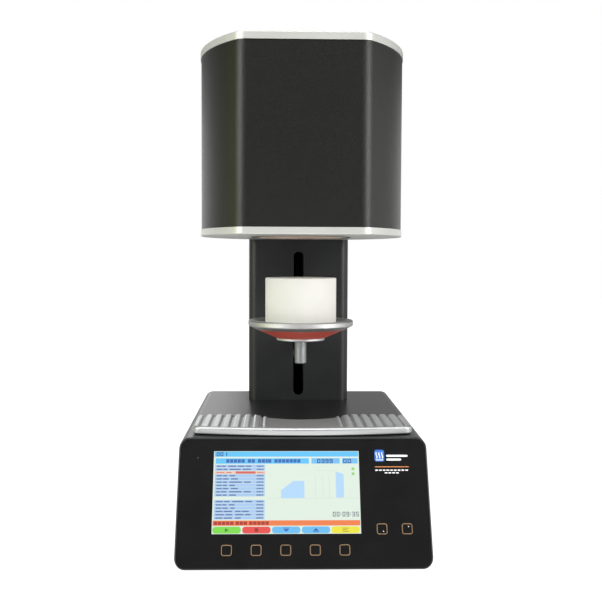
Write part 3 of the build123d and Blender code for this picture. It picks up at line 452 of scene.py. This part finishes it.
def build_display():
    """The picture on the display: bars, list, graph and five soft keys, with no words."""
    sky = lit_plates("header_bars", "sky", srgb(92, 196, 250))
    screen_bar(sky, 0.004, 0.004, 0.996, 0.068, 1)
    screen_bar(sky, 0.012, 0.088, 0.655, 0.155, 1)
    pale = lit_plates("value_boxes", "pale", srgb(116, 192, 244))
    screen_bar(pale, 0.672, 0.088, 0.868, 0.155, 1)
    screen_bar(pale, 0.884, 0.088, 0.992, 0.155, 1)

    rows = lit_plates("list_rows", "rows", srgb(166, 200, 238))
    text = lit_plates("list_marks", "list_ink", srgb(84, 104, 158))
    hot = lit_plates("chosen_row", "chosen", srgb(232, 200, 182))
    red = lit_plates("chosen_mark", "chosen_ink", srgb(214, 96, 88))
    pitch = 0.0392
    words = [
        (3, 3, -1, 6, 5, 4), (4, 3, -1, 8, 6), (3, 4, -1, 5), (4, 3, -1, 4), (4, 4, -1, 5), (4, 3, -1, 9, 5),
        (4, 3, -1, 4), (4, 4, -1, 5), (3, 4, -1, 9, 5), (4, 3, -1, 5), None, (5, 4, -1, 8, 5), (4, 3, -1, 4),
        (4, 4, -1, 3), (5, 6, -1, 4, 5), (6, 5, -1, 6, 4), (5, 6, -1, 4),
    ]
    for index, pattern in enumerate(words):
        top = 0.166 + pitch * index
        if pattern is None:
            continue
        if index == 2:
            screen_bar(hot, 0.008, top + 0.002, 0.356, top + pitch - 0.002, 1)
            screen_bar(red, 0.152, top + 0.005, 0.288, top + pitch - 0.006, 2)
            marks(red, 0.02, 0.13, top + pitch / 2, 0.010, 2, pattern)
            marks(red, 0.30, 0.344, top + pitch / 2, 0.010, 2, (2, 3, 2))
            continue
        screen_bar(rows, 0.010, top + 0.001, 0.352, top + pitch - 0.003, 1)
        width = 0.011 * sum(abs(share) for share in pattern)
        marks(text, 0.022, 0.022 + width, top + pitch / 2, 0.014, 2, pattern)
        marks(text, 0.296, 0.344, top + pitch / 2, 0.014, 2, (2, 3, 2))

    graph = lit_plates("graph_areas", "graph", srgb(178, 216, 250))
    low = SCREEN_FACE + LAYER
    ramp = [(0.463, 0.578), (0.463, 0.483), (0.548, 0.368), (0.622, 0.368), (0.622, 0.578)]
    graph.plate([(screen_x(u), screen_up(v)) for u, v in reversed(ramp)], low, low + LAYER)
    peak = [(0.838, 0.572), (0.838, 0.252), (0.892, 0.285), (0.892, 0.572)]
    graph.plate([(screen_x(u), screen_up(v)) for u, v in reversed(peak)], low, low + LAYER)
    lines = lit_plates("graph_lines", "lines", srgb(206, 222, 200))
    screen_bar(lines, 0.375, 0.574, 0.985, 0.578, 0.5)
    screen_bar(lines, 0.70, 0.238, 0.838, 0.242, 0.5)
    screen_bar(lines, 0.43, 0.478, 0.463, 0.482, 0.5)
    for u in (0.697, 0.748, 0.79):
        screen_bar(lines, u, 0.30, u + 0.003, 0.574, 0.5)
    green = lit_plates("status_squares", "green", srgb(150, 214, 112))
    for v in (0.205, 0.265):
        screen_bar(green, 0.948, v, 0.968, v + 0.033, 1, radius=0.6)

    ink = lit_plates("figures", "ink", srgb(22, 70, 152))
    digits(ink, "001", screen_x(0.018), screen_up(0.062), 4.3, 2, 0.72)
    digits(ink, "0399", screen_x(0.712), screen_up(0.150), 4.6, 2, 0.74)
    digits(ink, "00", screen_x(0.892), screen_up(0.150), 4.6, 2, 0.80)
    title = lit_plates("title_marks", "title_ink", srgb(42, 102, 182))
    title_blocks = (3, 3, 3, 3, 3, -2, 3, 3, -2, 3, 3, 2, 3, -2, 3, 3, 3, 3, 3, 3, 3)
    marks(title, 0.085, 0.60, 0.121, 0.044, 2, title_blocks)
    grey = lit_plates("clock", "clock", srgb(140, 150, 150))
    digits(grey, "00:09:35", screen_x(0.812), screen_up(0.800), 5.0, 1, 0.62)

    status = lit_plates("status_bar", "status", srgb(240, 124, 66))
    screen_bar(status, 0.004, 0.842, 0.996, 0.905, 1)
    note = lit_plates("status_marks", "status_ink", srgb(172, 40, 30))
    marks(note, 0.012, 0.385, 0.874, 0.040, 2, (3, 3, 3, 3, 3, -1, 3, 3, 3, -1, 3, 3, 3, 3, 3))

    keys = (
        ("start", srgb(122, 218, 66), srgb(52, 134, 40)), ("escape", srgb(230, 68, 66), srgb(150, 34, 36)),
        ("close", srgb(102, 188, 240), srgb(38, 92, 186)), ("open", srgb(102, 188, 240), srgb(38, 92, 186)),
        ("edit", srgb(238, 228, 50), srgb(164, 150, 30)),
    )
    for index, (name, color, dark) in enumerate(keys):
        u0 = 0.004 + 0.1995 * index
        button = lit_plates(f"soft_key_{name}", f"key_{name}", color)
        screen_bar(button, u0, 0.915, u0 + 0.190, 0.995, 1, radius=2.8)
        button.finish()
        sign = lit_plates(f"sign_{name}", f"sign_{name}", dark)
        soft_key_sign(sign, name, screen_x(u0 + 0.095), screen_up(0.955))
        sign.finish()
    for plates in (sky, pale, rows, text, hot, red, graph, lines, green, ink, title, grey, status, note):
        plates.finish()


def soft_key_sign(plates, name, x, up):
    """A plain sign for each soft key: play, stop, down, up, and lines to edit."""
    low = SCREEN_FACE + 2 * LAYER
    high = low + LAYER
    if name == "start":
        plates.plate([(x - 1.8, up - 2), (x + 2.4, up), (x - 1.8, up + 2)], low, high)
    elif name == "escape":
        plates.plate(bar(x - 1.8, up - 1.8, x + 1.8, up + 1.8), low, high)
    elif name in ("close", "open"):
        way = 1 if name == "open" else -1
        head = [(x - 3, up - 0.9 * way), (x + 3, up - 0.9 * way), (x, up + 1.9 * way)]
        plates.plate(head if way > 0 else list(reversed(head)), low, high)
        plates.plate(bar(x - 3, up - 1.9 * way - 0.35, x + 3, up - 1.9 * way + 0.35), low, high)
    else:
        for rise, reach in ((-1.6, 3.4), (0, 2.4), (1.6, 3.4)):
            plates.plate(bar(x - 3.4, up + rise - 0.35, x - 3.4 + 2 * reach, up + rise + 0.35), low, high)


# ---------------------------------------------------------------- keys and printed signs
KEY_SIZE = 11.0
KEY_RADIUS = 2.4
KEY_LINE = 0.85


def build_key_outlines():
    """The bronze outline on each key, and a white dot on the two side keys."""
    gold = surface("key_bronze", srgb(146, 118, 88), 0.45, metallic=0.3, cloud=200, variation=0.1)
    white = surface("key_dot_white", srgb(225, 225, 220), 0.5)
    for body in (name for name in frame["bodies"] if name.startswith("key_")):
        x, up = node_on_panel(body)
        outline = Plates(f"{body}_outline", gold, body)
        outer = rounded(x, up, KEY_SIZE, KEY_SIZE, KEY_RADIUS)
        inner = rounded(x, up, KEY_SIZE - 2 * KEY_LINE, KEY_SIZE - 2 * KEY_LINE, KEY_RADIUS - KEY_LINE)
        outline.frame(outer, inner, 0.0, 0.06)
        outline.finish()
        if body in ("key_down", "key_up"):
            rise = 2.4 if body == "key_up" else -2.4
            dot = Plates(f"{body}_dot", white, body)
            dot.plate(rounded(x + 1.5, up + rise, 1.2, 1.2, 0.6, 4), 0.0, 0.05)
            dot.finish()


def wave(x, foot, height, swing, width, steps=16):
    """The outline of one upright wavy line."""
    left, right = [], []
    for i in range(steps + 1):
        share = i / steps
        offset = swing * math.sin(2 * math.pi * share)
        left.append((x + offset - width / 2, foot + height * share))
        right.append((x + offset + width / 2, foot + height * share))
    return right + list(reversed(left))


TILE_X = 81.2
TILE_UP = 117.2
INK = 0.04
PRINT = 0.05


def build_heat_sign():
    """A plain sign at the top right of the panel: a heat tile, blank bars and a rule, with no words."""
    white = surface("print_white", srgb(232, 234, 236), 0.5, variation=0.03)
    orange = surface("print_orange", srgb(206, 128, 72), 0.5, variation=0.05)
    blue = surface("print_blue", srgb(40, 104, 190), 0.5, variation=0.05)
    tile = Plates("heat_sign_tile", blue)
    tile.plate(rounded(TILE_X, TILE_UP, 10.4, 12.6, 2.2), 0, INK)
    tile.finish()
    bars = Plates("heat_sign_bars", white)
    for x in (TILE_X - 3, TILE_X, TILE_X + 3):
        bars.plate(wave(x, TILE_UP - 3, 6.6, 0.55, 1.0), INK, 2 * INK)
    bars.plate(bar(TILE_X - 4, TILE_UP - 5, TILE_X + 4, TILE_UP - 4.1), INK, 2 * INK)
    bars.plate(rounded(100.0, 117.0, 23.0, 2.2, 1.1, 3), 0, PRINT)
    bars.plate(rounded(96.5, 113.0, 16.0, 2.2, 1.1, 3), 0, PRINT)
    for start, foot, count in ((76.2, 101.0, 9), (86.2, 98.2, 4)):
        for x in (start + 4.0 * index for index in range(count)):
            bars.plate(bar(x, foot, x + 2.9, foot + 1.3), 0, PRINT)
    bars.finish()
    rule = Plates("heat_sign_rule", orange)
    rule.plate(bar(76, 104.8, 112, 105.7), 0, PRINT)
    rule.finish()


def build_floor():
    """A pale floor that the kiln stands on."""
    recipe = Recipe("floor")
    clouds = recipe.noise(1.5, 2.0)
    stops = [(0.3, (0.28, 0.28, 0.28)), (0.7, (0.32, 0.32, 0.32))]
    recipe.ramp(clouds, stops, recipe.shader.inputs["Base Color"])
    recipe.set(Roughness=0.9, Emission_Color=(1, 1, 1, 1))
    # the camera sees a white floor; the kiln is lit by a pool of light on the floor in front of it
    away = recipe.node("ShaderNodeVectorMath", operation="DISTANCE")
    away.inputs[1].default_value = (0, -0.75, 0)
    recipe.link(recipe.place, away.inputs[0])
    pick = recipe.node("ShaderNodeMix")
    recipe.spread(away.outputs["Value"], 1.3, 0.24, pick.inputs["A"], 0.2, 0.8)
    recipe.link(recipe.node("ShaderNodeLightPath").outputs["Is Camera Ray"], pick.inputs["Factor"])
    pick.inputs["B"].default_value = 1.0
    recipe.link(pick.outputs["Result"], recipe.shader.inputs["Emission Strength"])
    mesh = bmesh.new()
    bmesh.ops.create_grid(mesh, x_segments=8, y_segments=8, size=6)
    data = bpy.data.meshes.new("floor")
    mesh.to_mesh(data)
    mesh.free()
    floor = bpy.data.objects.new("floor", data)
    floor.location.z = -0.0005
    data.materials.append(recipe.material)
    bpy.context.scene.collection.objects.link(floor)


# ---------------------------------------------------------------- light
def softbox(name, place, aim, size, power, color=(1, 1, 1)):
    light = bpy.data.lights.new(name, "AREA")
    light.shape = "RECTANGLE"
    light.size, light.size_y = size
    light.energy = power
    light.color = color
    box = bpy.data.objects.new(name, light)
    box.location = place
    box.rotation_euler = (Vector(aim) - Vector(place)).to_track_quat("-Z", "Y").to_euler()
    bpy.context.scene.collection.objects.link(box)


WARM = (1, 0.98, 0.94)
OLIVE = (0.70, 0.84, 0.14)
# name, place, aim, (width, height) in metres, watts, colour
SOFTBOXES = (
    ("left_box", (-1.25, -1.35, 1.15), (0, 0, 0.3), (0.5, 1.7), 18.5),
    ("right_box", (1.25, -1.35, 1.15), (0, 0, 0.3), (0.5, 1.7), 14, WARM),
    ("top_box", (0, -0.7, 1.9), (0, -0.05, 0.2), (1.4, 1.0), 20),
    ("right_card", (1.5, -0.05, 0.35), (0, 0, 0.35), (1.3, 1.2), 4.2),
    ("left_strip", (-1.2, -0.75, 0.2), (0, 0, 0.25), (0.3, 0.4), 0.9),
    ("left_edge", (-1.2, -0.75, 0.65), (0, 0, 0.45), (0.4, 0.5), 3.0),
    ("right_edge", (1.2, -0.75, 0.65), (0, 0, 0.45), (0.4, 0.5), 5.0),
    ("right_strip", (1.2, -0.75, 0.2), (0, 0, 0.25), (0.3, 0.4), 2.4),
    ("back_left", (-0.55, 3.0, 0.85), (-0.1, 0, 0.13), (0.7, 0.8), 2.9),
    ("back_right", (0.5, 3.0, 0.85), (0.1, 0, 0.13), (0.7, 0.8), 0.8),
    ("green_card", (-1.6, -0.35, 0.5), (0, 0, 0.45), (0.9, 0.9), 3.0, OLIVE),
)


def build_light():
    """A white backdrop behind the kiln, soft boxes in front and overhead, and cards at the sides."""
    world = bpy.data.worlds.new("studio")
    bpy.context.scene.world = world
    world.use_nodes = True
    tree = world.node_tree
    background = tree.nodes["Background"]
    background.inputs["Color"].default_value = (1, 1, 1, 1)
    split = tree.nodes.new("ShaderNodeSeparateXYZ")
    tree.links.new(tree.nodes.new("ShaderNodeTexCoord").outputs["Generated"], split.inputs["Vector"])

    def fade(axis, start, end, low, high):
        part = tree.nodes.new("ShaderNodeMapRange")
        part.interpolation_type = "SMOOTHSTEP"
        ends = (("From Min", start), ("From Max", end), ("To Min", low), ("To Max", high))
        for name, value in ends:
            part.inputs[name].default_value = value
        tree.links.new(split.outputs[axis], part.inputs["Value"])
        return part.outputs["Result"]

    def times(first, second):
        product = tree.nodes.new("ShaderNodeMath")
        product.operation = "MULTIPLY"
        tree.links.new(first, product.inputs[0])
        tree.links.new(second, product.inputs[1])
        return product.outputs["Value"]

    behind = times(fade("Y", 0.3, 0.97, 0.28, 1.0), fade("Y", -0.95, -0.4, 0.4, 1.0))
    height = fade("Z", 0.13, 0.22, 1.0, 0.10)
    side = times(fade("X", -0.12, 0.10, 1.25, 0.52), fade("X", 0.14, 0.34, 1.0, 2.0))
    path = tree.nodes.new("ShaderNodeLightPath")
    pick = tree.nodes.new("ShaderNodeMix")
    tree.links.new(path.outputs["Is Camera Ray"], pick.inputs["Factor"])
    tree.links.new(times(times(behind, height), side), pick.inputs["A"])
    pick.inputs["B"].default_value = 1.0
    tree.links.new(pick.outputs["Result"], background.inputs["Strength"])
    for box in SOFTBOXES:
        softbox(*box)


bpy.context.scene.view_settings.view_transform = "Standard"
dress_cad()
build_display()
build_key_outlines()
build_heat_sign()
build_floor()
build_light()
place_camera()
